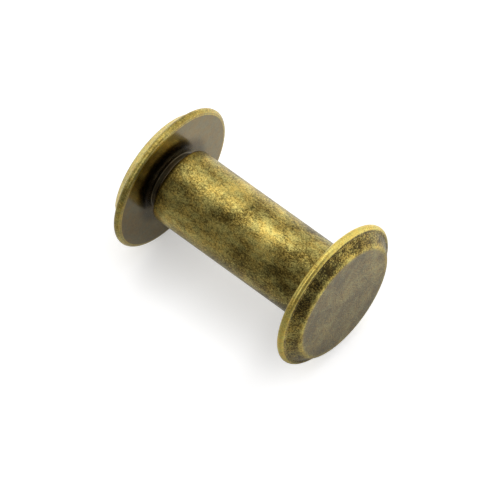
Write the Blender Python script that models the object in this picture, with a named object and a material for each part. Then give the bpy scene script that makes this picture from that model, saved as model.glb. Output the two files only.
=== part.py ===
"""Chicago screw in antique brass: a barrel post and the slotted screw that threads into its open end.

The post stands on the outer face of its plain head, with its barrel along +Z and the screw's head on top. The
origin is the centre of that outer face. All sizes are in metres.
"""

import math

import bmesh
import bpy

MM = 0.001

# Heads: both pieces have the same bevelled head with a rounded rim.
HEAD_RADIUS = 5.0 * MM
HEAD_THICKNESS = 1.2 * MM
RIM_ROUND = 0.27 * MM  # radius of the rim's half-round edge
LEDGE_WIDTH = 0.04 * MM  # flat ring between the rim and the foot of the bevel
BEVEL_ANGLE = math.radians(47.0)  # slope of the bevel, from the plane of the face
FACE_FILLET = 0.36 * MM  # soft edge between the face and the bevel
COVE_RADIUS = 0.12 * MM  # hollow at the foot of the bevel

# Thread, as its crest cylinder, and the bore that takes it.
THREAD_RADIUS = 1.95 * MM
RUNNING_CLEARANCE = 0.08 * MM  # radial play of the thread in the bore
BARREL_WALL = 0.52 * MM
TIP_CHAMFER = 0.35 * MM
MOUTH_CHAMFER = 0.12 * MM
DRILL_POINT_ANGLE = math.radians(118.0)

# Lengths along the axis.
BARREL_LENGTH = 12.2 * MM  # from the post head's underside to the open end
BORE_STOCK = 3.2 * MM  # solid brass between the head's underside and the full bore
TIP_CLEARANCE = 2.5 * MM  # between the screw's tip and the end of the full bore
REST_GAP = 0.5 * MM  # between the barrel end and the screw head: the screw stands just short of home

# Edges of the barrel and of the shank.
BARREL_ROOT_FILLET = 0.15 * MM
BARREL_END_ROUND = 0.28 * MM
SHANK_ROOT_FILLET = 0.10 * MM
SEAT_RELIEF = 0.05 * MM  # shallow relief round the shank, where the barrel's end comes home

# Driver slot across the screw's outer face.
SLOT_WIDTH = 1.2 * MM
SLOT_DEPTH = 0.52 * MM
CUTTER_OVERRUN = 1.0 * MM

# Fineness of the turned surfaces.
TURN_STEPS = 72
SOFT_EDGE_STEPS = 3
RIM_STEPS = 8
END_STEPS = 5
SMOOTH_ANGLE = math.radians(32.0)
WELD_DISTANCE = 1e-7

# Sizes that follow from the ones above.
BORE_RADIUS = THREAD_RADIUS + RUNNING_CLEARANCE
BARREL_RADIUS = BORE_RADIUS + BARREL_WALL
CLAMP_RING_RADIUS = BARREL_RADIUS + BARREL_ROOT_FILLET  # inner edge of the flat ring that each head clamps with
RIM_CENTRE_RADIUS = HEAD_RADIUS - RIM_ROUND
LEDGE_DEPTH = HEAD_THICKNESS - 2.0 * RIM_ROUND
BARREL_END = HEAD_THICKNESS + BARREL_LENGTH
BORE_FLOOR = HEAD_THICKNESS + BORE_STOCK
SCREW_SEAT = BARREL_END + REST_GAP  # height of the screw head's underside
SHANK_LENGTH = SCREW_SEAT - BORE_FLOOR - TIP_CLEARANCE


def clear_scene():
    """Remove every object of the open file."""
    for item in list(bpy.data.objects):
        bpy.data.objects.remove(item, do_unlink=True)


def brass(name, colour, roughness):
    """Aged brass as a Principled material."""
    material = bpy.data.materials.new(name)
    material.use_nodes = True
    shader = material.node_tree.nodes["Principled BSDF"]
    shader.inputs["Base Color"].default_value = (*colour, 1.0)
    shader.inputs["Roughness"].default_value = roughness
    shader.inputs["Metallic"].default_value = 1.0
    return material


def arc(centre, radius, start, end, steps):
    """Points on an arc in the half plane (radius, height), both ends included. Angles in degrees from +radius."""
    points = []
    for index in range(steps + 1):
        angle = math.radians(start + (end - start) * index / steps)
        points.append((centre[0] + radius * math.cos(angle), centre[1] + radius * math.sin(angle)))
    return points


def head_profile():
    """Outline of a head from its outer face's centre out to the underside, as (radius, depth below the face)."""
    bevel_degrees = math.degrees(BEVEL_ANGLE)
    cove_centre_radius = RIM_CENTRE_RADIUS - LEDGE_WIDTH
    cove_centre_depth = LEDGE_DEPTH - COVE_RADIUS
    cove_start_radius = cove_centre_radius - COVE_RADIUS * math.sin(BEVEL_ANGLE)
    cove_start_depth = cove_centre_depth + COVE_RADIUS * math.cos(BEVEL_ANGLE)
    fillet_end_depth = FACE_FILLET * (1.0 - math.cos(BEVEL_ANGLE))
    fillet_end_radius = cove_start_radius - (cove_start_depth - fillet_end_depth) / math.tan(BEVEL_ANGLE)
    face_radius = fillet_end_radius - FACE_FILLET * math.sin(BEVEL_ANGLE)

    points = [(0.0, 0.0)]
    points += arc((face_radius, FACE_FILLET), FACE_FILLET, -90.0, -90.0 + bevel_degrees, SOFT_EDGE_STEPS)
    points += arc((cove_centre_radius, cove_centre_depth), COVE_RADIUS, 90.0 + bevel_degrees, 90.0, SOFT_EDGE_STEPS)
    points += arc((RIM_CENTRE_RADIUS, HEAD_THICKNESS - RIM_ROUND), RIM_ROUND, -90.0, 90.0, RIM_STEPS)
    return points


def post_profile():
    """Outline of the post from the centre of its head's outer face to the bottom of its bore, as (radius, z)."""
    drill_point_depth = BORE_RADIUS / math.tan(DRILL_POINT_ANGLE / 2.0)
    end_round = min(BARREL_END_ROUND, BARREL_WALL - MOUTH_CHAMFER)
    root_centre = (CLAMP_RING_RADIUS, HEAD_THICKNESS + BARREL_ROOT_FILLET)
    end_centre = (BARREL_RADIUS - end_round, BARREL_END - end_round)

    points = head_profile()
    points += arc(root_centre, BARREL_ROOT_FILLET, 270.0, 180.0, SOFT_EDGE_STEPS)
    points += arc(end_centre, end_round, 0.0, 90.0, END_STEPS)
    points += [(BORE_RADIUS + MOUTH_CHAMFER, BARREL_END), (BORE_RADIUS, BARREL_END - MOUTH_CHAMFER)]
    points += [(BORE_RADIUS, BORE_FLOOR), (0.0, BORE_FLOOR - drill_point_depth)]
    return points


def screw_profile():
    """Outline of the screw from its outer face's centre to its tip, as (radius, height over the underside)."""
    root_centre = (THREAD_RADIUS + SHANK_ROOT_FILLET, SEAT_RELIEF - SHANK_ROOT_FILLET)

    points = [(radius, HEAD_THICKNESS - depth) for radius, depth in head_profile()]
    points += [(CLAMP_RING_RADIUS, 0.0), (CLAMP_RING_RADIUS - SEAT_RELIEF, SEAT_RELIEF)]
    points += arc(root_centre, SHANK_ROOT_FILLET, 90.0, 180.0, SOFT_EDGE_STEPS)
    points += [(THREAD_RADIUS, TIP_CHAMFER - SHANK_LENGTH), (THREAD_RADIUS - TIP_CHAMFER, -SHANK_LENGTH)]
    points += [(0.0, -SHANK_LENGTH)]
    return points


def turned(name, profile, material):
    """Spin a profile that starts and ends on the Z axis into one closed, outward-facing object."""
    shape = bmesh.new()
    corners = [shape.verts.new((radius, 0.0, height)) for radius, height in profile]
    for first, second in zip(corners, corners[1:]):
        shape.edges.new((first, second))
    bmesh.ops.spin(
        shape,
        geom=shape.verts[:] + shape.edges[:],
        cent=(0.0, 0.0, 0.0),
        axis=(0.0, 0.0, 1.0),
        angle=2.0 * math.pi,
        steps=TURN_STEPS,
        use_merge=True,
    )
    bmesh.ops.remove_doubles(shape, verts=shape.verts[:], dist=WELD_DISTANCE)
    bmesh.ops.recalc_face_normals(shape, faces=shape.faces[:])
    mesh = bpy.data.meshes.new(name)
    shape.to_mesh(mesh)
    shape.free()
    mesh.materials.append(material)
    mesh.shade_smooth()
    mesh.set_sharp_from_angle(angle=SMOOTH_ANGLE)
    item = bpy.data.objects.new(name, mesh)
    bpy.context.collection.objects.link(item)
    return item


def slot_cutter():
    """Bar that cuts the driver slot, long enough to leave the head at both ends."""
    shape = bmesh.new()
    bmesh.ops.create_cube(shape, size=1.0)
    length = 2.0 * (HEAD_RADIUS + CUTTER_OVERRUN)
    height = SLOT_DEPTH + CUTTER_OVERRUN
    bmesh.ops.scale(shape, vec=(length, SLOT_WIDTH, height), verts=shape.verts[:])
    bmesh.ops.translate(
        shape,
        vec=(0.0, 0.0, HEAD_THICKNESS - SLOT_DEPTH + height / 2.0),
        verts=shape.verts[:],
    )
    mesh = bpy.data.meshes.new("slot_cutter")
    shape.to_mesh(mesh)
    shape.free()
    item = bpy.data.objects.new("slot_cutter", mesh)
    item.hide_render = True
    item.display_type = "WIRE"
    bpy.context.collection.objects.link(item)
    return item


def build_post():
    """Female half: head, barrel and blind bore, turned from one bar."""
    return turned("barrel_post", post_profile(), brass("aged_brass_post", (0.33, 0.25, 0.10), 0.38))


def build_screw():
    """Male half: slotted head and shank in one piece, with its origin at the head's underside on the axis."""
    screw = turned("slotted_screw", screw_profile(), brass("aged_brass_screw", (0.36, 0.28, 0.12), 0.34))
    cutter = slot_cutter()
    for item in (screw, cutter):
        item.location = (0.0, 0.0, SCREW_SEAT)
    cut = screw.modifiers.new("driver_slot", "BOOLEAN")
    cut.operation = "DIFFERENCE"
    cut.solver = "EXACT"
    cut.object = cutter
    return screw


def main():
    clear_scene()
    build_post()
    build_screw()


main()
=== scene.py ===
"""Chicago screw in antique brass: the looks of the barrel post and of the slotted screw that threads into it.

Each piece is turned from one bar, so it is one profile spun round the Z axis by Geometry Nodes, with a real
helical thread on the shank and in the bore. The finish is brass that was darkened and then rubbed back:
bright on edges and crests, brown in the hollows, mottled on the barrel. The underside round the barrel also
carries painted shade, its edge a painted highlight line besides its wear, and the barrel is darker towards
the head. All sizes are in metres, and the masks and patterns of the materials are in millimetres.
"""

import logging
import math
from dataclasses import dataclass, field
from enum import Enum

import bmesh
import bpy
from mathutils import Matrix, Vector


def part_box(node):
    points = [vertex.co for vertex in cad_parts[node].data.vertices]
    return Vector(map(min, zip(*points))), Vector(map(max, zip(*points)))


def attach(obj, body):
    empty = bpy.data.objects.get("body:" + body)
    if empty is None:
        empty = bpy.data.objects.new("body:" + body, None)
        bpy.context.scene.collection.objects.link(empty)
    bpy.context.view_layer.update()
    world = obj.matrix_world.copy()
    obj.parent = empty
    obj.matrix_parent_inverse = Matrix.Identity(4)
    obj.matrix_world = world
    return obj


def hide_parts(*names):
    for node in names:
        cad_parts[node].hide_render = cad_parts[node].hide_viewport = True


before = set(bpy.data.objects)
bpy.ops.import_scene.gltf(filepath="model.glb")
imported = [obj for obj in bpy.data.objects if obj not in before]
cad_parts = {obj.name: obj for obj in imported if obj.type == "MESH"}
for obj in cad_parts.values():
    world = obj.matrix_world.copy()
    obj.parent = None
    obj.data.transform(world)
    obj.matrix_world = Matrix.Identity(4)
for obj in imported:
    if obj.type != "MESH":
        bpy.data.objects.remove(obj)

log = logging.getLogger("chicago_screw")

MM = 0.001
POST_NODE = "barrel_post"
SCREW_NODE = "slotted_screw"
PICTURE_SIDE = 480

Point = tuple[float, float]
Fade = tuple[float, float]  # where a fade starts and where it is complete
Colour = tuple[float, float, float]
Corner = tuple[float, float, float]
Direction = tuple[float, float, float]


class Signal:
    """One output socket of a node tree, on which arithmetic adds Math nodes."""

    def __init__(self, graph: "Graph", socket: bpy.types.NodeSocket | None) -> None:
        """Keep the socket and the graph that new nodes go into."""
        self.graph = graph
        self.socket = socket

    def __add__(self, other: "Signal | float") -> "Signal":
        """Sum."""
        return self.graph.maths("ADD", self, other)

    def __sub__(self, other: "Signal | float") -> "Signal":
        """Difference."""
        return self.graph.maths("SUBTRACT", self, other)

    def __rsub__(self, other: float) -> "Signal":
        """Difference from a number."""
        return self.graph.maths("SUBTRACT", other, self)

    def __mul__(self, other: "Signal | float") -> "Signal":
        """Product."""
        return self.graph.maths("MULTIPLY", self, other)

    def __truediv__(self, other: "Signal | float") -> "Signal":
        """Quotient."""
        return self.graph.maths("DIVIDE", self, other)

    def __abs__(self) -> "Signal":
        """Size without its sign."""
        return self.graph.maths("ABSOLUTE", self)


class Graph:
    """A node tree being built, for a shader or for Geometry Nodes."""

    def __init__(self, tree: bpy.types.NodeTree) -> None:
        """Start from an empty tree."""
        self.tree = tree
        self.tree.nodes.clear()

    def add(
        self,
        kind: str,
        settings: dict[str, object] | None = None,
        sockets: dict[str | int, object] | None = None,
        output: str | int = 0,
    ) -> Signal:
        """Add one node.

        Args:
            kind: The node's type.
            settings: Properties, which are set before anything is linked.
            sockets: Values or signals for the inputs, by name or number.
            output: The output that the result stands for.

        Returns:
            The chosen output.
        """
        node = self.tree.nodes.new(kind)
        for name, value in (settings or {}).items():
            setattr(node, name, value)
        for name, value in (sockets or {}).items():
            self.feed(node.inputs[name], value)
        return Signal(self, node.outputs[output]) if node.outputs else Signal(self, None)

    def feed(self, target: bpy.types.NodeSocket, value: object) -> None:
        """Link a signal to an input, or set the input's value.

        Args:
            target: The input.
            value: The signal, or the value in the input's own type.
        """
        if isinstance(value, Signal):
            self.tree.links.new(value.socket, target)
        else:
            target.default_value = value

    def maths(self, operation: str, *values: Signal | float) -> Signal:
        """Add a Math node on one, two or three values."""
        return self.add("ShaderNodeMath", {"operation": operation}, dict(enumerate(values)))

    def parted(self, vector: Signal) -> list[Signal]:
        """Split a vector into X, Y and Z."""
        node = self.add("ShaderNodeSeparateXYZ", {}, {0: vector}).socket.node
        return [Signal(self, output) for output in node.outputs]

    def clamped(self, value: Signal | float) -> Signal:
        """Limit a value to 0..1."""
        return self.add("ShaderNodeClamp", {}, {"Value": value})

    def ramp_up(self, value: Signal, low: float, high: float) -> Signal:
        """Smooth step from 0 at low to 1 at high.

        Args:
            value: The signal to test.
            low: Where the step starts.
            high: Where it is complete, which lies below low for a step that falls.

        Returns:
            A signal in 0..1.
        """
        reach = (value - low) / (high - low)
        return self.add("ShaderNodeMapRange", {"interpolation_type": "SMOOTHSTEP"}, {"Value": reach})

    def fade(self, value: Signal, edge: float, reach: Fade) -> Signal:
        """Smooth step by an edge: 0 at the first distance past it, 1 at the second."""
        return self.ramp_up(value, edge + reach[0], edge + reach[1])

    def band(self, value: Signal, centre: float, half_width: float) -> Signal:
        """1 at the centre, falling smoothly to 0 at half_width on both sides."""
        return 1.0 - self.ramp_up(abs(value - centre), 0.0, half_width)

    def blend(
        self, share: Signal | float, first: Signal | Colour, second: Signal | Colour, mode: str = "MIX"
    ) -> Signal:
        """Mix two colours.

        Args:
            share: How much of the second colour shows.
            first: Colour at share 0.
            second: Colour at share 1, or the colour that the first is multiplied by.
            mode: "MIX" or "MULTIPLY".

        Returns:
            The mixed colour.
        """
        colours = [c if isinstance(c, Signal) else (*c, 1.0) for c in (first, second)]
        settings = {"data_type": "RGBA", "blend_type": mode}
        return self.add("ShaderNodeMix", settings, {0: share, 6: colours[0], 7: colours[1]}, output=2)


@dataclass
class Head:
    """The bevelled head that both pieces have, measured from its outer face down to its underside."""

    radius: float
    thickness: float = 1.2 * MM
    rim_round: float = 0.27 * MM
    ledge: float = 0.04 * MM
    bevel: float = math.radians(47.0)
    face_fillet: float = 0.36 * MM
    cove: float = 0.12 * MM
    fillet_steps: int = 12
    cove_steps: int = 6
    rim_steps: int = 28
    face_rings: int = 6

    @property
    def rim_centre(self) -> Point:
        """Radius and depth of the centre of the rim's half round."""
        return self.radius - self.rim_round, self.thickness - self.rim_round

    @property
    def cove_centre(self) -> Point:
        """Radius and depth of the centre of the hollow at the foot of the bevel."""
        return self.rim_centre[0] - self.ledge, self.thickness - 2.0 * self.rim_round - self.cove

    @property
    def face_radius(self) -> float:
        """Radius of the flat face, inside its soft edge.

        Returns:
            The radius.
        """
        cove_radius = self.cove_centre[0] - self.cove * math.sin(self.bevel)
        cove_depth = self.cove_centre[1] + self.cove * math.cos(self.bevel)
        fillet_depth = self.face_fillet * (1.0 - math.cos(self.bevel))
        fillet_radius = cove_radius - (cove_depth - fillet_depth) / math.tan(self.bevel)
        return fillet_radius - self.face_fillet * math.sin(self.bevel)

    def outline(self) -> list[Point]:
        """Outline from the middle of the face to the edge of the underside.

        Returns:
            Points as (radius, depth under the face).
        """
        slope = math.degrees(self.bevel)
        face = [(self.face_radius * step / self.face_rings, 0.0) for step in range(self.face_rings)]
        fillet_centre = (self.face_radius, self.face_fillet)
        fillet = arc(fillet_centre, self.face_fillet, -90.0, slope - 90.0, self.fillet_steps)
        cove = arc(self.cove_centre, self.cove, 90.0 + slope, 90.0, self.cove_steps)
        rim = arc(self.rim_centre, self.rim_round, -90.0, 90.0, self.rim_steps)
        return face + fillet + cove + rim


@dataclass
class Thread:
    """A right-hand thread: its pitch and depth, and the stretch of the axis that it covers.

    The groove is cut outward in a bore and inward on a shank. It starts with a chamfer at the open end and
    runs out at the other.
    """

    low: float
    high: float
    open_end: float
    chamfer: float
    depth: float
    outward: bool
    crest_radius: float
    run_out: float = 0.7 * MM
    pitch: float = 0.7 * MM
    rows_per_turn: int = 16

    def rows(self) -> list[Point]:
        """Rows of points from the thread's top to one pitch below its foot, to be sheared into a helix.

        Returns:
            Points as (radius, height).
        """
        step = self.pitch / self.rows_per_turn
        count = math.ceil((self.high - self.low) / step) + self.rows_per_turn
        return [(self.crest_radius, self.high - step * row) for row in range(count + 1)]


@dataclass
class DriverSlot:
    """The slot for a flat blade, across the screw's outer face along X, with its two long edges broken."""

    face: float = 0.0
    depth: float = 0.52 * MM
    width: float = 1.2 * MM
    edge: float = 0.04 * MM
    overrun: float = 1.0 * MM


def arc(centre: Point, radius: float, start: float, end: float, steps: int) -> list[Point]:
    """Points on an arc.

    Args:
        centre: Centre of the arc.
        radius: Its radius.
        start: First angle, in degrees from the first axis.
        end: Last angle.
        steps: Number of chords.

    Returns:
        The points, both ends included.
    """
    angles = [math.radians(start + (end - start) * step / steps) for step in range(steps + 1)]
    return [(centre[0] + radius * math.cos(a), centre[1] + radius * math.sin(a)) for a in angles]


def straight(first: Point, last: Point, steps: int) -> list[Point]:
    """Points on a straight line, without its first end, so that it can follow another run of points."""
    shares = [step / steps for step in range(1, steps + 1)]
    return [(first[0] + (last[0] - first[0]) * s, first[1] + (last[1] - first[1]) * s) for s in shares]


class TurningTree:
    """The Geometry Nodes tree that spins a profile, cuts its thread and, on the screw, cuts its slot."""

    NAME = "turned_piece"
    MERGE = 0.5e-6
    GROOVE_FLANK: Fade = (0.06, 0.86)  # shares of the way from crest to root
    WHOLE_TURNS = 64.0  # added to the thread's phase to keep it above 0
    THREAD_SIZES = ("Pitch", "Depth", "Side", "Low", "High", "Open End", "Chamfer", "Run Out")
    SLOT_SIZES = ("Slot Length", "Slot Width", "Slot Floor", "Slot Edge", "Face", "Slot Overrun")
    INPUTS = {
        "Profile": "NodeSocketGeometry",
        "Segments": "NodeSocketInt",
        "Has Slot": "NodeSocketBool",
        "Finish": "NodeSocketMaterial",
        **dict.fromkeys(THREAD_SIZES + SLOT_SIZES, "NodeSocketFloat"),
    }

    def __init__(self) -> None:
        """Build the tree."""
        tree = bpy.data.node_groups.new(self.NAME, "GeometryNodeTree")
        for name, kind in self.INPUTS.items():
            tree.interface.new_socket(name, in_out="INPUT", socket_type=kind)
        tree.interface.new_socket("Geometry", in_out="OUTPUT", socket_type="NodeSocketGeometry")
        self.tree = tree
        self.graph = Graph(tree)
        entry = tree.nodes.new("NodeGroupInput")
        self.inputs = {name: Signal(self.graph, entry.outputs[name]) for name in self.INPUTS}
        piece = self._cut_slot(self._spin())
        piece = self.graph.add("GeometryNodeRealizeInstances", {}, {"Geometry": piece})
        finish = self.inputs["Finish"]
        piece = self.graph.add("GeometryNodeSetMaterial", {}, {"Geometry": piece, "Material": finish})
        leave = tree.nodes.new("NodeGroupOutput")
        self.graph.feed(leave.inputs["Geometry"], piece)

    def _spin(self) -> Signal:
        """Spin the profile's points round Z on a grid, one column for each segment.

        Returns:
            The turned surface.
        """
        g, inputs = self.graph, self.inputs
        profile = {"Geometry": inputs["Profile"]}
        rows = g.add("GeometryNodeAttributeDomainSize", {"component": "MESH"}, profile)
        columns = inputs["Segments"] + 1.0
        grid = g.add("GeometryNodeMeshGrid", {}, {"Vertices X": columns, "Vertices Y": rows})
        index = g.add("GeometryNodeInputIndex")
        column = g.maths("FLOOR", (index + 0.5) / rows)
        row = index - column * rows
        turn = column / inputs["Segments"]
        place = self._sampled(row, "FLOAT_VECTOR", g.add("GeometryNodeInputPosition"))
        threaded = self._sampled(row, "FLOAT", self._named("threaded"))
        radius, _, height = g.parted(place)
        radius, height = self._threaded(radius, height, turn, threaded)
        angle = turn * math.tau
        spun = g.add(
            "ShaderNodeCombineXYZ",
            {},
            {"X": radius * g.maths("COSINE", angle), "Y": radius * g.maths("SINE", angle), "Z": height},
        )
        placed = g.add("GeometryNodeSetPosition", {}, {"Geometry": grid, "Position": spun})
        return g.add("GeometryNodeMergeByDistance", {}, {"Geometry": placed, "Distance": self.MERGE})

    def _named(self, name: str) -> Signal:
        """Value of a named attribute."""
        return self.graph.add("GeometryNodeInputNamedAttribute", {"data_type": "FLOAT"}, {"Name": name})

    def _sampled(self, row: Signal, kind: str, value: Signal) -> Signal:
        """Value of the profile's point in this row.

        Args:
            row: Number of the point.
            kind: Type of the value.
            value: What is read there.

        Returns:
            The value at that point.
        """
        return self.graph.add(
            "GeometryNodeSampleIndex",
            {"data_type": kind, "domain": "POINT"},
            {"Geometry": self.inputs["Profile"], "Value": value, "Index": row},
        )

    def _threaded(
        self, radius: Signal, height: Signal, turn: Signal, threaded: Signal
    ) -> tuple[Signal, Signal]:
        """Shear the threaded rows into a helix and cut the groove between them.

        Args:
            radius: Radius of the profile's point.
            height: Its height.
            turn: Share of a full turn that the column stands at.
            threaded: 1 on rows of the thread, otherwise 0.

        Returns:
            The new radius and height.
        """
        g, inputs = self.graph, self.inputs
        pitch, low, high = inputs["Pitch"], inputs["Low"], inputs["High"]
        climbed = height + pitch * turn
        sheared = g.maths("MINIMUM", g.maths("MAXIMUM", climbed, low), high)
        phase = g.maths("FRACT", (sheared - pitch * turn - high) / pitch + self.WHOLE_TURNS)
        rise = 1.0 - abs(phase * 2.0 - 1.0)
        groove = g.ramp_up(rise, *self.GROOVE_FLANK)
        closed = abs(sheared - (low + high - inputs["Open End"])) / inputs["Run Out"]
        cut = inputs["Depth"] * groove * g.ramp_up(closed, 0.0, 1.0)
        cone = inputs["Chamfer"] - abs(sheared - inputs["Open End"])
        carved = radius + inputs["Side"] * g.maths("MAXIMUM", cut, cone)
        return radius + (carved - radius) * threaded, height + (sheared - height) * threaded

    def _cut_slot(self, piece: Signal) -> Signal:
        """Cut the driver slot along X and break its two long edges, where the piece has a slot.

        Args:
            piece: The turned piece.

        Returns:
            The piece, cut where it has a slot.
        """
        g, inputs = self.graph, self.inputs
        width, soft, overrun = inputs["Slot Width"], inputs["Slot Edge"], inputs["Slot Overrun"]
        bar = self._bar(width, width, inputs["Face"] + overrun - inputs["Slot Floor"], inputs["Slot Floor"])
        flare = self._bar(width, width + (overrun + soft) * 2.0, overrun + soft, inputs["Face"] - soft)
        cut = piece
        for cutter in (bar, flare):
            cut = g.add(
                "GeometryNodeMeshBoolean", {"operation": "DIFFERENCE", "solver": "EXACT"}, {0: cut, 1: cutter}
            )
        return g.add(
            "GeometryNodeSwitch",
            {"input_type": "GEOMETRY"},
            {"Switch": inputs["Has Slot"], "False": piece, "True": cut},
        )

    def _bar(self, low_width: Signal, high_width: Signal, height: Signal, low: Signal) -> Signal:
        """Bar along X with a section that widens upwards.

        Args:
            low_width: Width of its lower side.
            high_width: Width of its upper side.
            height: Height of the section.
            low: Height at which its lower side lies.

        Returns:
            The closed bar.
        """
        g, inputs = self.graph, self.inputs
        # The section's own Y runs downwards along the bar, so its bottom side comes out on top.
        section = g.add(
            "GeometryNodeCurvePrimitiveQuadrilateral",
            {"mode": "TRAPEZOID"},
            {"Bottom Width": high_width, "Top Width": low_width, "Height": height, "Offset": 0.0},
        )
        line = g.add(
            "GeometryNodeCurvePrimitiveLine",
            {},
            {
                "Start": g.add("ShaderNodeCombineXYZ", {}, {"X": inputs["Slot Length"] * -0.5}),
                "End": g.add("ShaderNodeCombineXYZ", {}, {"X": inputs["Slot Length"] * 0.5}),
            },
        )
        bar = g.add(
            "GeometryNodeCurveToMesh", {}, {"Curve": line, "Profile Curve": section, "Fill Caps": True}
        )
        lift = g.add("ShaderNodeCombineXYZ", {}, {"Z": low + height * 0.5})
        return g.add("GeometryNodeTransform", {}, {"Geometry": bar, "Translation": lift})

    def set_inputs(self, modifier: bpy.types.NodesModifier, values: dict[str, object]) -> None:
        """Set the modifier's inputs by the identifiers of their sockets.

        Args:
            modifier: The modifier that holds this tree.
            values: The inputs by name.
        """
        for item in self.tree.interface.items_tree:
            if item.in_out == "INPUT" and item.name in values:
                modifier[item.identifier] = values[item.name]


class Look(Enum):
    """How a stretch of the brass was left by the bath and the rubbing."""

    # The recess look also darkens the underside round the barrel as painted shade, and the worn edge look
    # lays a painted highlight line along the underside's edge.
    FACE = "face"
    UNDERSIDE = "underside"
    BARREL = "barrel"
    WORN_EDGE_AND_PAINTED_HIGHLIGHT = "worn edge"
    BEVEL = "bevel"
    RECESS_AND_PAINTED_SHADE = "recess"


@dataclass(frozen=True)
class Tone:
    """One look: its patina, the brass that shows through, how and where that shows, and how rough both are.

    cover is the level of the mottle at which half of the brass shows, and spread how softly it comes in.
    broad is the weight of the large patches. A glint above 1 keeps the bare brass to the brightest crests.
    """

    patina: Colour
    brass: Colour
    cover: float
    spread: float
    broad: float
    roughness: float
    glint: float = 1.0

    def colour(self, g: Graph, fine: Signal, broad: Signal) -> Signal:
        """Mix the patina with the brass that shows through it.

        Args:
            g: The material's graph.
            fine: The fine mottle, about 0.5 in the mean.
            broad: The large patches, about 0 in the mean.

        Returns:
            The colour of this look.
        """
        bare = g.fade(fine + broad * self.broad, self.cover, (-self.spread, self.spread))
        return g.blend(g.maths("POWER", bare, self.glint), self.patina, self.brass)


TONES = {
    Look.FACE: Tone((0.135, 0.108, 0.061), (0.44, 0.346, 0.138), 0.54, 0.14, 0.50, 0.30),
    Look.UNDERSIDE: Tone((0.185, 0.146, 0.082), (0.31, 0.242, 0.118), 0.50, 0.34, 0.30, 0.17),
    Look.BARREL: Tone((0.068, 0.050, 0.012), (0.88, 0.680, 0.190), 0.485, 0.25, 0.75, 0.31, 1.5),
    # The worn edge look is brass rubbed bare on edges, and along the underside's edge also a painted
    # highlight line.
    Look.WORN_EDGE_AND_PAINTED_HIGHLIGHT: Tone((0.34, 0.245, 0.060), (0.94, 0.735, 0.190), 0.43, 0.20, 0.50, 0.33),
    Look.BEVEL: Tone((0.066, 0.049, 0.018), (0.72, 0.545, 0.150), 0.56, 0.14, 0.60, 0.34),
    # The recess look is the bath's brown kept in hollows, and also painted shade on the underside round the
    # barrel.
    Look.RECESS_AND_PAINTED_SHADE: Tone((0.075, 0.060, 0.038), (0.15, 0.115, 0.058), 0.56, 0.30, 0.40, 0.42),
}


@dataclass(frozen=True)
class Mottle:
    """Fractal noise: its scale for each millimetre, its levels of detail and how strongly these count."""

    scale: float
    detail: float = 2.0
    roughness: float = 0.5

    def over(self, g: Graph, place: Signal) -> Signal:
        """The noise at each place."""
        sockets = {"Vector": place, "Scale": self.scale, "Detail": self.detail, "Roughness": self.roughness}
        return g.add("ShaderNodeTexNoise", {"noise_dimensions": "3D"}, sockets)


@dataclass(frozen=True)
class Reaches:
    """Where each look begins and ends, in millimetres from the edge that it is measured from.

    A fade says where the look starts to show and where it is complete. A band says how far its middle lies
    from the edge, and its half width.
    """

    rim: Fade = (0.06, 0.01)  # past the rim's half round
    rim_side: Fade = (0.04, 0.15)  # out from the half round's centre
    face: Fade = (0.03, 0.005)  # under the outer face
    face_side: Fade = (0.06, -0.06)  # out from the flat face
    soft_edge: Point = (0.12, 0.32)  # band out from the flat face
    soft_edge_depth: Fade = (0.30, 0.12)  # under the outer face
    bevel_top: Fade = (0.05, 0.14)  # under the outer face
    bevel_foot: Fade = (-0.45, -0.62)  # below the underside
    under: Fade = (-0.12, -0.01)  # below the underside
    under_edge: Point = (0.03, 0.08)  # band out from the half round's centre
    barrel: Fade = (0.02, 0.12)  # below the underside
    root: Fade = (4.6, 0.8)  # below the underside
    recess: Fade = (0.03, -0.03)  # out from the recess
    recess_depth: Fade = (-0.16, -0.10)  # below the underside
    # painted shade on the underside round the barrel
    inner: Fade = (1.3, 0.55)  # out from the recess
    slot_wall: Fade = (0.005, -0.005)  # out from the slot's wall
    slot_top: Fade = (0.02, 0.05)  # under the outer face
    slot_floor: Fade = (0.04, 0.01)  # under the slot's floor
    slot_edge: Point = (0.024, 0.07)  # band out from the slot's wall
    slot_edge_depth: Fade = (0.09, 0.03)  # under the outer face


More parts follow.
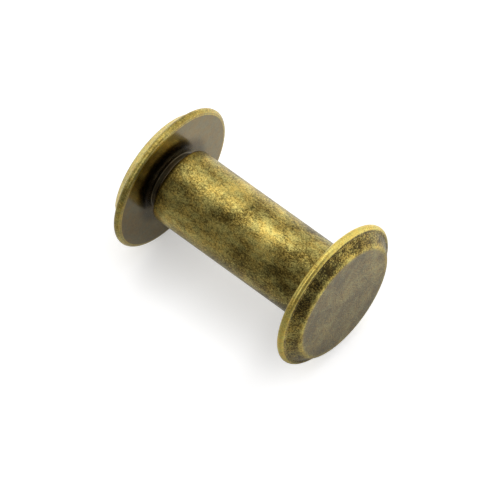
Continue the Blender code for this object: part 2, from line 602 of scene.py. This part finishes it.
@dataclass(frozen=True)
class AntiqueBrass:
    """Brass darkened in a bath and rubbed back, told apart by where a point lies on its piece.

    recess_radius is the radius of the bore's mouth or of the shank's neck, where the bath's brown stays. The
    underside out from it carries painted shade round the barrel.
    """

    head: Head
    slot: DriverSlot | None
    recess_radius: float
    rim_wear: float = 1.0
    bevel_wear: float = 0.0
    # the underside's edge: rubbed brass plus a painted highlight line
    under_edge_wear_and_highlight: float = 0.6
    soft_edge_wear: float = 0.48
    # strength of the painted shade on the underside round the barrel
    inner_painted_shade: float = 0.8
    # how much darker the barrel comes out towards the head
    root_darkening: float = 0.10
    reaches: Reaches = Reaches()
    draw: float = 0.7  # scale of the drawn patterns along the axis, against that across it
    grain: Mottle = Mottle(9.0, 3.0, 0.62)
    flecks: Mottle = Mottle(15.0)
    patches: Mottle = Mottle(1.9)
    clouds: Mottle = Mottle(0.50)
    tint: Mottle = Mottle(2.0, 3.0, 0.6)
    tint_fade: Fade = (0.36, 0.64)
    tints: tuple[Colour, Colour] = ((1.05, 0.985, 0.86), (0.92, 1.0, 1.08))
    patch_share: float = 0.35
    cloud_share: float = 0.65
    noise_mean: float = 0.5
    wear_broad: float = 0.8
    wear_fade: Fade = (0.28, 0.50)
    roughness_swing: float = 0.3
    grain_height: float = 0.025 * MM
    grain_relief: float = 0.65
    fleck_relief: float = 0.35
    bevel_relief: float = 0.8
    face_relief: float = 0.3
    rim_relief: float = 0.5

    def material(self, name: str, face_height: float, direction: float) -> bpy.types.Material:
        """Make the finish of one piece.

        Args:
            name: Name of the material.
            face_height: Height of the head's outer face.
            direction: 1 where the piece lies above its face, -1 where it lies below.

        Returns:
            The material.
        """
        material = bpy.data.materials.new(name)
        material.use_nodes = True
        g = Graph(material.node_tree)
        objects = g.add("ShaderNodeTexCoord", {}, {}, "Object")
        place = g.add("ShaderNodeVectorMath", {"operation": "SCALE"}, {0: objects, "Scale": 1.0 / MM})
        across, along, up = g.parted(place)
        radius = g.maths("SQRT", across * across + along * along)
        depth = (up - face_height / MM) * direction
        masks = self._masks(g, radius, depth) | self._slot_masks(g, depth, along)
        drawn = g.add("ShaderNodeVectorMath", {"operation": "MULTIPLY"}, {0: place, 1: (1.0, 1.0, self.draw)})
        grain, flecks = self.grain.over(g, drawn), self.flecks.over(g, place)
        colour, roughness = self._tones(g, drawn, masks, grain, flecks)
        relief = grain * self.grain_relief + flecks * self.fleck_relief
        bump = {"Height": relief * masks["coarse"], "Distance": self.grain_height}
        normal = g.add("ShaderNodeBump", {}, bump)
        shader = g.add(
            "ShaderNodeBsdfPrincipled",
            {},
            {"Base Color": colour, "Metallic": 1.0, "Roughness": roughness, "Normal": normal},
        )
        g.add("ShaderNodeOutputMaterial", {}, {"Surface": shader})
        return material

    def _masks(self, g: Graph, radius: Signal, depth: Signal) -> dict[str, Signal]:
        """Where each stretch of a turned piece is.

        Args:
            g: The material's graph.
            radius: Distance from the axis, in millimetres.
            depth: Depth under the outer face, in millimetres.

        Returns:
            Masks in 0..1 by name.
        """
        head, reaches = self.head, self.reaches
        thick, face_edge, recess_edge = head.thickness / MM, head.face_radius / MM, self.recess_radius / MM
        rim_radius, rim_depth = (value / MM for value in head.rim_centre)
        out, down = radius - rim_radius, depth - rim_depth
        from_rim = g.maths("SQRT", out * out + down * down)
        rim = g.fade(from_rim, head.rim_round / MM, reaches.rim) * g.fade(out, 0.0, reaches.rim_side)
        face = g.fade(depth, 0.0, reaches.face) * g.fade(radius, face_edge, reaches.face_side)
        soft_edge = g.band(radius, face_edge + reaches.soft_edge[0], reaches.soft_edge[1])
        bevel = g.fade(depth, 0.0, reaches.bevel_top) * g.fade(depth, thick, reaches.bevel_foot)
        below = g.fade(depth, thick, reaches.under)
        barrel = g.fade(depth, thick, reaches.barrel)
        under = below * (1.0 - barrel)
        # band along the underside's edge: wear plus a painted highlight line
        under_edge = g.band(radius, rim_radius + reaches.under_edge[0], reaches.under_edge[1])
        recess = g.fade(radius, recess_edge, reaches.recess)
        coarse = barrel + bevel * self.bevel_relief + face * self.face_relief + rim * self.rim_relief
        return {
            "rim": rim,
            "face": face,
            "soft edge": soft_edge * g.fade(depth, 0.0, reaches.soft_edge_depth),
            "bevel": bevel,
            "under": under,
            "under edge": under_edge * below,
            "barrel": barrel,
            # the barrel's last millimetres at the head, which come out darker
            "root": barrel * g.fade(depth, thick, reaches.root),
            "recess": recess * g.fade(depth, thick, reaches.recess_depth),
            # painted shade on the underside round the barrel, between the two pieces
            "inner": under * g.fade(radius, recess_edge, reaches.inner),
            "coarse": g.clamped(coarse),
        }

    def _slot_masks(self, g: Graph, depth: Signal, along: Signal) -> dict[str, Signal]:
        """Where the driver slot and its broken edges are.

        Args:
            g: The material's graph.
            depth: Depth under the outer face, in millimetres.
            along: Distance across the slot, in millimetres.

        Returns:
            Masks in 0..1 by name, or none on a piece without a slot.
        """
        if self.slot is None:
            return {}
        reaches, aside = self.reaches, abs(along)
        wall, floor = self.slot.width / MM / 2.0, self.slot.depth / MM
        walls = g.fade(aside, wall, reaches.slot_wall) * g.fade(depth, 0.0, reaches.slot_top)
        edge = g.band(aside, wall + reaches.slot_edge[0], reaches.slot_edge[1])
        return {
            "slot": walls * g.fade(depth, floor, reaches.slot_floor),
            "slot edge": edge * g.fade(depth, 0.0, reaches.slot_edge_depth),
        }

    def _tones(
        self, g: Graph, place: Signal, masks: dict[str, Signal], grain: Signal, flecks: Signal
    ) -> tuple[Signal, Signal]:
        """Colour and roughness of the finish, layer by layer.

        Args:
            g: The material's graph.
            place: The point, in millimetres, with its height drawn out.
            masks: Where each look goes.
            grain: The fine mottle.
            flecks: The finest mottle.

        Returns:
            Base colour and roughness.
        """
        fine = (grain + flecks) / 2.0
        broad = self.patches.over(g, place) * self.patch_share + self.clouds.over(g, place) * self.cloud_share
        # the barrel comes out darker towards the head
        broad = broad - self.noise_mean - masks["root"] * self.root_darkening
        worn = g.ramp_up(fine + broad * self.wear_broad, *self.wear_fade)
        base = TONES[Look.BEVEL]
        colour = base.colour(g, fine, broad)
        roughness = (self.noise_mean - fine) * self.roughness_swing + base.roughness
        layers = (
            (Look.WORN_EDGE_AND_PAINTED_HIGHLIGHT, "bevel", self.bevel_wear),
            (Look.FACE, "face", 1.0),
            (Look.UNDERSIDE, "under", 1.0),
            # rubbed brass plus a painted highlight line along the underside's edge
            (Look.WORN_EDGE_AND_PAINTED_HIGHLIGHT, "under edge", self.under_edge_wear_and_highlight),
            (Look.BARREL, "barrel", 1.0),
            # painted shade: the recess look laid on the underside round the barrel
            (Look.RECESS_AND_PAINTED_SHADE, "inner", self.inner_painted_shade),
            (Look.RECESS_AND_PAINTED_SHADE, "recess", 1.0),
            (Look.RECESS_AND_PAINTED_SHADE, "slot", 1.0),
            (Look.WORN_EDGE_AND_PAINTED_HIGHLIGHT, "soft edge", worn * self.soft_edge_wear),
            (Look.WORN_EDGE_AND_PAINTED_HIGHLIGHT, "rim", self.rim_wear),
            (Look.WORN_EDGE_AND_PAINTED_HIGHLIGHT, "slot edge", worn),
        )
        for look, name, share in layers:
            if name in masks:
                tone, mask = TONES[look], masks[name] * share
                colour = g.blend(mask, colour, tone.colour(g, fine, broad))
                roughness = roughness + mask * (tone.roughness - base.roughness)
        tinted = g.ramp_up(self.tint.over(g, place), *self.tint_fade)
        return g.blend(1.0, colour, g.blend(tinted, *self.tints), "MULTIPLY"), roughness


@dataclass
class TurnedPiece:
    """A piece turned from one bar: its profile, the thread it carries and the node that it stands for."""

    name: str
    node: str
    body: str
    head: Head
    thread: Thread
    slot: DriverSlot | None = None
    segments: int = 144
    smooth_angle: float = math.radians(38.0)
    points: list[Point] = field(default_factory=list)
    threaded: list[float] = field(default_factory=list)

    def run(self, points: list[Point], threaded: float = 0.0) -> None:
        """Append a stretch of the profile."""
        self.points += points
        self.threaded += [threaded] * len(points)

    def build(self, tree: TurningTree, finish: bpy.types.Material) -> bpy.types.Object:
        """Spin the profile into a plain mesh.

        Args:
            tree: The Geometry Nodes tree that spins it.
            finish: The material that it takes.

        Returns:
            The finished object, at the origin.
        """
        mesh = bpy.data.meshes.new(self.name + "_profile")
        edges = [(first, first + 1) for first in range(len(self.points) - 1)]
        mesh.from_pydata([(radius, 0.0, height) for radius, height in self.points], edges, [])
        mesh.attributes.new("threaded", "FLOAT", "POINT").data.foreach_set("value", self.threaded)
        source = bpy.data.objects.new(self.name, mesh)
        bpy.context.scene.collection.objects.link(source)
        modifier = source.modifiers.new("turning", "NODES")
        modifier.node_group = tree.tree
        tree.set_inputs(modifier, self._values(finish))
        bpy.context.view_layer.update()
        evaluated = source.evaluated_get(bpy.context.evaluated_depsgraph_get())
        turned = bpy.data.meshes.new_from_object(evaluated)
        source.modifiers.clear()
        source.data = turned
        self._close(turned)
        return source

    def _values(self, finish: bpy.types.Material) -> dict[str, object]:
        """The tree's inputs for this piece.

        Args:
            finish: The material that it takes.

        Returns:
            The inputs by name.
        """
        slot = self.slot or DriverSlot()
        return {
            "Segments": self.segments,
            "Pitch": self.thread.pitch,
            "Depth": self.thread.depth,
            "Side": 1.0 if self.thread.outward else -1.0,
            "Low": self.thread.low,
            "High": self.thread.high,
            "Open End": self.thread.open_end,
            "Chamfer": self.thread.chamfer,
            "Run Out": self.thread.run_out,
            "Has Slot": self.slot is not None,
            "Slot Length": 2.0 * (self.head.radius + slot.overrun),
            "Slot Width": slot.width,
            "Slot Floor": slot.face - slot.depth,
            "Slot Edge": slot.edge,
            "Face": slot.face,
            "Slot Overrun": slot.overrun,
            "Finish": finish,
        }

    def _close(self, mesh: bpy.types.Mesh) -> None:
        """Merge what is left of doubles, point the faces outwards and shade the turned faces smooth.

        Args:
            mesh: The turned mesh, which is changed in place.
        """
        shape = bmesh.new()
        shape.from_mesh(mesh)
        bmesh.ops.remove_doubles(shape, verts=shape.verts[:], dist=TurningTree.MERGE)
        bmesh.ops.dissolve_degenerate(shape, edges=shape.edges[:], dist=TurningTree.MERGE)
        bmesh.ops.recalc_face_normals(shape, faces=shape.faces[:])
        if shape.calc_volume(signed=True) < 0.0:
            bmesh.ops.reverse_faces(shape, faces=shape.faces[:])
        shape.to_mesh(mesh)
        shape.free()
        mesh.shade_smooth()
        mesh.set_sharp_from_angle(angle=self.smooth_angle)


@dataclass
class ScrewSet:
    """The assembled chicago screw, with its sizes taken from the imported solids."""

    barrel_wall: float = 0.52 * MM
    clearance: float = 0.08 * MM
    thread_radius: float = 1.95 * MM
    bore_stock: float = 3.2 * MM
    root_fillet: float = 0.15 * MM
    end_round: float = 0.28 * MM
    mouth_chamfer: float = 0.12 * MM
    tip_chamfer: float = 0.35 * MM
    shank_fillet: float = 0.10 * MM
    seat_relief: float = 0.05 * MM
    relief_slope: float = 0.60 * MM
    drill_point: float = math.radians(118.0)
    thread_depth: float = 0.40 * MM
    groove_depth: float = 0.28 * MM
    groove_margin: float = 0.02 * MM
    tapped_share: float = 0.86
    root_steps: int = 8
    wall_steps: int = 24
    end_steps: int = 12
    relief_steps: int = 8
    shank_steps: int = 6

    def __post_init__(self) -> None:
        """Read the overall sizes from the frame."""
        post_low, post_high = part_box(POST_NODE)
        screw_low, screw_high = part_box(SCREW_NODE)
        self.head = Head(radius=post_high.x)
        self.barrel_end = post_high.z
        self.shank_tip = screw_low.z
        self.top = screw_high.z
        self.seat = self.top - self.head.thickness
        self.bore_radius = self.thread_radius + self.clearance
        self.barrel_radius = self.bore_radius + self.barrel_wall
        self.bore_edge = self.bore_radius + self.mouth_chamfer
        self.clamp_ring = self.barrel_radius + self.root_fillet
        self.bore_floor = self.head.thickness + self.bore_stock
        overall = self.top - post_low.z
        log.info("heads %.2f mm across, %.2f mm overall", 2.0 * post_high.x / MM, overall / MM)

    def post(self) -> TurnedPiece:
        """The post: head, barrel, rounded end, tapped bore and drill point.

        Returns:
            The piece with its whole profile.
        """
        head = self.head
        tapped = self.tapped_share * (self.barrel_end - self.bore_floor)
        thread = Thread(
            low=self.barrel_end - tapped,
            high=self.barrel_end,
            open_end=self.barrel_end,
            chamfer=self.mouth_chamfer,
            depth=self.groove_depth,
            outward=True,
            crest_radius=self.bore_radius,
        )
        root = (self.barrel_radius + self.root_fillet, head.thickness + self.root_fillet)
        end_round = min(self.end_round, self.barrel_wall - self.mouth_chamfer)
        end = (self.barrel_radius - end_round, self.barrel_end - end_round)
        drill_depth = self.bore_radius / math.tan(self.drill_point / 2.0)
        piece = TurnedPiece("post_shell", POST_NODE, "post", head, thread)
        piece.run(head.outline())
        piece.run(arc(root, self.root_fillet, 270.0, 180.0, self.root_steps))
        wall = straight((self.barrel_radius, root[1]), (self.barrel_radius, end[1]), self.wall_steps)
        piece.run(wall[:-1])
        piece.run(arc(end, end_round, 0.0, 90.0, self.end_steps))
        piece.run([(self.bore_edge, self.barrel_end)])
        piece.run(thread.rows(), threaded=1.0)
        piece.run([(self.bore_radius, thread.low - self.groove_margin), (self.bore_radius, self.bore_floor)])
        piece.run([(0.0, self.bore_floor - drill_depth)])
        return piece

    def screw(self) -> TurnedPiece:
        """The screw: slotted head, seat relief, threaded shank and chamfered tip.

        Returns:
            The piece with its whole profile.
        """
        head = self.head
        neck = self.seat + self.seat_relief - self.shank_fillet
        thread = Thread(
            low=self.shank_tip,
            high=neck,
            open_end=self.shank_tip,
            chamfer=self.tip_chamfer,
            depth=self.thread_depth,
            outward=False,
            crest_radius=self.thread_radius,
        )
        root = (self.thread_radius + self.shank_fillet, neck)
        slot = DriverSlot(face=self.top)
        piece = TurnedPiece("screw_shell", SCREW_NODE, "screw", head, thread, slot)
        piece.run([(radius, self.top - depth) for radius, depth in head.outline()])
        piece.run(self._relief())
        piece.run(arc(root, self.shank_fillet, 90.0, 180.0, self.shank_steps))
        piece.run(thread.rows(), threaded=1.0)
        piece.run([(0.0, self.shank_tip)])
        return piece

    def _relief(self) -> list[Point]:
        """Soft step of the seat relief, as half a wave from the clamp ring inwards.

        Returns:
            Points as (radius, height).
        """
        turns = [math.pi * step / self.relief_steps for step in range(self.relief_steps + 1)]
        return [
            (
                self.clamp_ring - self.relief_slope * turn / math.pi,
                self.seat + self.seat_relief * (1.0 - math.cos(turn)) / 2.0,
            )
            for turn in turns
        ]

    def dress(self, tree: TurningTree) -> None:
        """Build both pieces, give them their finish and seat them on their bodies.

        Args:
            tree: The Geometry Nodes tree that spins them.
        """
        post, screw = self.post(), self.screw()
        neck = self.thread_radius + self.shank_fillet
        post_finish = AntiqueBrass(self.head, post.slot, self.bore_edge)
        screw_finish = AntiqueBrass(self.head, screw.slot, neck, rim_wear=0.5, bevel_wear=1.0)
        parts = (
            (post, post_finish.material("post_brass", 0.0, 1.0)),
            (screw, screw_finish.material("screw_brass", self.top, -1.0)),
        )
        for piece, material in parts:
            shell = piece.build(tree, material)
            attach(shell, piece.body)
            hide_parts(piece.node)
            log.info("%s: %d faces", shell.name, len(shell.data.polygons))


@dataclass(frozen=True)
class Viewpoint:
    """Where the photograph was taken from, as the screw's axis lies in the picture.

    lean is the axis's angle in the picture, slant its angle from the line of sight, and foot_pixel the place
    of the middle of the post's outer face.
    """

    lean: float = math.radians(35.706)
    slant: float = math.radians(67.628)
    distance: float = 0.450
    pixels_per_metre: float = 16494.5
    foot_pixel: Point = (344.304, 302.83)
    sensor: float = 36.0
    clip: tuple[float, float] = (0.01, 10.0)

    def place(self) -> None:
        """Put the camera where it sees the part as the photograph does."""
        along = Vector(
            (
                -math.sin(self.slant) * math.cos(self.lean),
                -math.sin(self.slant) * math.sin(self.lean),
                math.cos(self.slant),
            )
        )
        back = Vector((0.0, along.z, -along.y)).normalized()
        side = back.cross(along)
        right, down, ahead = (Vector(row) for row in zip(side, back, along))
        middle = PICTURE_SIDE / 2.0
        across = (self.foot_pixel[0] - middle) / self.pixels_per_metre
        drop = (self.foot_pixel[1] - middle) / self.pixels_per_metre
        spot = -(right * across + down * drop + ahead * self.distance)
        data = bpy.data.cameras.new("photo_camera")
        data.sensor_width = self.sensor
        data.lens = self.sensor * self.pixels_per_metre * self.distance / PICTURE_SIDE
        data.clip_start, data.clip_end = self.clip
        camera = bpy.data.objects.new("photo_camera", data)
        turned = Matrix((right, -down, -ahead)).transposed().to_4x4()
        camera.matrix_world = Matrix.Translation(spot) @ turned
        bpy.context.scene.collection.objects.link(camera)
        bpy.context.scene.camera = camera


@dataclass(frozen=True)
class Lamp:
    """A square soft light, aimed at the part."""

    name: str
    direction: Direction
    distance: float
    side: float
    power: float

    def hang(self, target: Vector) -> None:
        """Hang the lamp in its direction from the target, facing it.

        Args:
            target: The point that it lights.
        """
        data = bpy.data.lights.new(self.name, "AREA")
        data.size = self.side
        data.energy = self.power
        lamp = bpy.data.objects.new(self.name, data)
        offset = Vector(self.direction).normalized()
        lamp.location = target + offset * self.distance
        lamp.rotation_euler = offset.to_track_quat("Z", "Y").to_euler()
        bpy.context.scene.collection.objects.link(lamp)


@dataclass(frozen=True)
class SkyPatch:
    """A soft-edged patch of light in the room, round one direction and between two heights.

    spread and heights are fades: spread in the cosine of the angle to the axis, heights in the sine of the
    elevation.
    """

    axis: Direction
    strength: float
    spread: Fade
    heights: tuple[Fade, ...] = ()

    def light(self, g: Graph, way: Signal, height: Signal) -> Signal:
        """Its light in each direction.

        Args:
            g: The world's graph.
            way: The direction.
            height: The direction's height.

        Returns:
            The strength of the light.
        """
        axis = tuple(Vector(self.axis).normalized())
        toward = g.add("ShaderNodeVectorMath", {"operation": "DOT_PRODUCT"}, {0: way, 1: axis}, "Value")
        shape = g.ramp_up(toward, *self.spread)
        for fade in self.heights:
            shape = shape * g.ramp_up(height, *fade)
        return shape * self.strength


@dataclass(frozen=True)
class WhitePaper:
    """White that keeps a soft contact shadow, as the camera sees it and as the brass mirrors it.

    The shadow is darkest where the part touches. On a hanging sheet it fades out towards the table over
    shadow_rise, where the table would otherwise deepen it into a crease. What the brass mirrors grows
    brighter along X, in two fades.
    """

    white: Colour = (0.86, 0.86, 0.87)
    shadow: Colour = (0.40, 0.39, 0.365)
    shadow_reach: float = 4.5 * MM
    shadow_rise: float = 4.0 * MM
    shadow_samples: int = 8
    glow: float = 0.60
    glow_loss: float = 0.5
    gloss: float = 0.62
    dim_level: float = 0.12
    lit_level: float = 0.9
    lit_fade: Fade = (-14.0 * MM, 3.0 * MM)
    bright_level: float = 0.5
    bright_fade: Fade = (8.0 * MM, 16.0 * MM)

    def material(self, name: str, only_camera: bool) -> bpy.types.Material:
        """Make the material, which shows on a sheet's front only.

        Args:
            name: Name of the material.
            only_camera: Whether the sheet shows to the camera alone.

        Returns:
            The material.
        """
        material = bpy.data.materials.new(name)
        material.use_nodes = True
        g = Graph(material.node_tree)
        rays = g.add("ShaderNodeLightPath").socket.node.outputs
        seen, mirrored = Signal(g, rays["Is Camera Ray"]), Signal(g, rays["Is Glossy Ray"])
        behind = g.add("ShaderNodeNewGeometry", output="Backfacing")
        across, _, height = g.parted(g.add("ShaderNodeTexCoord", {}, {}, "Object"))
        reach = {"Distance": self.shadow_reach}
        open_air = g.add("ShaderNodeAmbientOcclusion", {"samples": self.shadow_samples}, reach, "AO")
        shade = 1.0 - open_air
        if not only_camera:
            shade = shade * g.ramp_up(height, 0.0, self.shadow_rise)
        matt = g.add("ShaderNodeBsdfDiffuse", {}, {"Color": g.blend(shade, self.white, self.shadow)})
        strength = seen * (1.0 - shade * self.glow_loss) * self.glow
        glow = g.add("ShaderNodeEmission", {}, {"Strength": strength})
        for_camera = g.add("ShaderNodeAddShader", {}, {0: matt, 1: glow})
        lit = g.ramp_up(across, *self.lit_fade) * self.lit_level
        bright = g.ramp_up(across, *self.bright_fade) * self.bright_level
        gloss = g.add("ShaderNodeEmission", {}, {"Strength": open_air * (lit + bright + self.dim_level)})
        for_brass = g.add("ShaderNodeMixShader", {}, {0: mirrored * self.gloss, 1: for_camera, 2: gloss})
        clear = g.add("ShaderNodeBsdfTransparent")
        hidden = 1.0 - seen * (1.0 - behind) if only_camera else behind
        shown = g.add("ShaderNodeMixShader", {}, {0: hidden, 1: for_brass, 2: clear})
        g.add("ShaderNodeOutputMaterial", {}, {"Surface": shown})
        return material


@dataclass(frozen=True)
class Studio:
    """Plain pale surroundings: paper behind the part, which its heads touch, a table under it, and light."""

    head_radius: float
    target: Vector
    extent: float = 0.6
    table_drop: float = 0.005 * MM
    paper: WhitePaper = WhitePaper()
    room: float = 0.19
    patches: tuple[SkyPatch, ...] = (
        SkyPatch((0.64, -0.64, 0.42), 0.78, (0.42, 0.80), ((-0.2, 0.25),)),  # side of the light tent
        SkyPatch((0.0, 0.0, 1.0), 0.80, (0.50, 0.88)),  # overhead
        SkyPatch((0.12, -0.96, -0.25), 1.4, (-0.05, 0.60), ((-0.45, -0.14), (0.28, 0.0))),  # low, in front
        SkyPatch((0.74, -0.27, -0.62), 1.0, (0.55, 0.85)),  # below the post's head
    )
    lamps: tuple[Lamp, ...] = (Lamp("softbox", (0.20, -0.88, 0.42), 0.40, 0.20, 0.11),)

    def build(self) -> None:
        """Make the surroundings and set the picture's plain colours."""
        middle = self.target.z
        far, wall, drop = self.extent, self.head_radius, -self.table_drop
        low, high = middle - far, middle + far
        hanging = [(-far, wall, low), (far, wall, low), (far, wall, high), (-far, wall, high)]
        lying = [(-far, -far, drop), (far, -far, drop), (far, far, drop), (-far, far, drop)]
        self._sheet("paper", hanging, only_camera=False)
        self._sheet("table", lying, only_camera=True)
        self._world()
        for lamp in self.lamps:
            lamp.hang(self.target)
        bpy.context.scene.view_settings.view_transform = "Standard"

    def _sheet(self, name: str, corners: list[Corner], only_camera: bool) -> None:
        """Add one flat sheet of the stage.

        Args:
            name: Name of the sheet.
            corners: Its corners, anticlockwise as seen from its front.
            only_camera: Whether it shows to the camera alone.
        """
        mesh = bpy.data.meshes.new(name)
        mesh.from_pydata(corners, [], [tuple(range(len(corners)))])
        mesh.materials.append(self.paper.material(name + "_white", only_camera))
        sheet = bpy.data.objects.new(name, mesh)
        bpy.context.scene.collection.objects.link(sheet)

    def _world(self) -> None:
        """A dim room with its patches of light, which the camera sees as plain white."""
        world = bpy.data.worlds.new("room")
        world.use_nodes = True
        bpy.context.scene.world = world
        g = Graph(world.node_tree)
        seen = g.add("ShaderNodeLightPath", output="Is Camera Ray")
        way = g.add("ShaderNodeTexCoord", {}, {}, "Generated")
        height = g.parted(way)[2]
        brightest, *others = [patch.light(g, way, height) for patch in self.patches]
        for other in others:
            brightest = g.maths("MAXIMUM", brightest, other)
        level = brightest + self.room
        light = g.add("ShaderNodeBackground", {}, {"Strength": level + (1.0 - level) * seen})
        g.add("ShaderNodeOutputWorld", {}, {"Surface": light})


def main() -> None:
    """Build the part, its surroundings and the camera."""
    logging.basicConfig(level=logging.INFO, format="%(name)s: %(message)s")
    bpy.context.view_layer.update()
    screw_set = ScrewSet()
    screw_set.dress(TurningTree())
    Studio(screw_set.head.radius, Vector((0.0, 0.0, screw_set.top / 2.0))).build()
    Viewpoint().place()


if __name__ == "__main__":
    main()
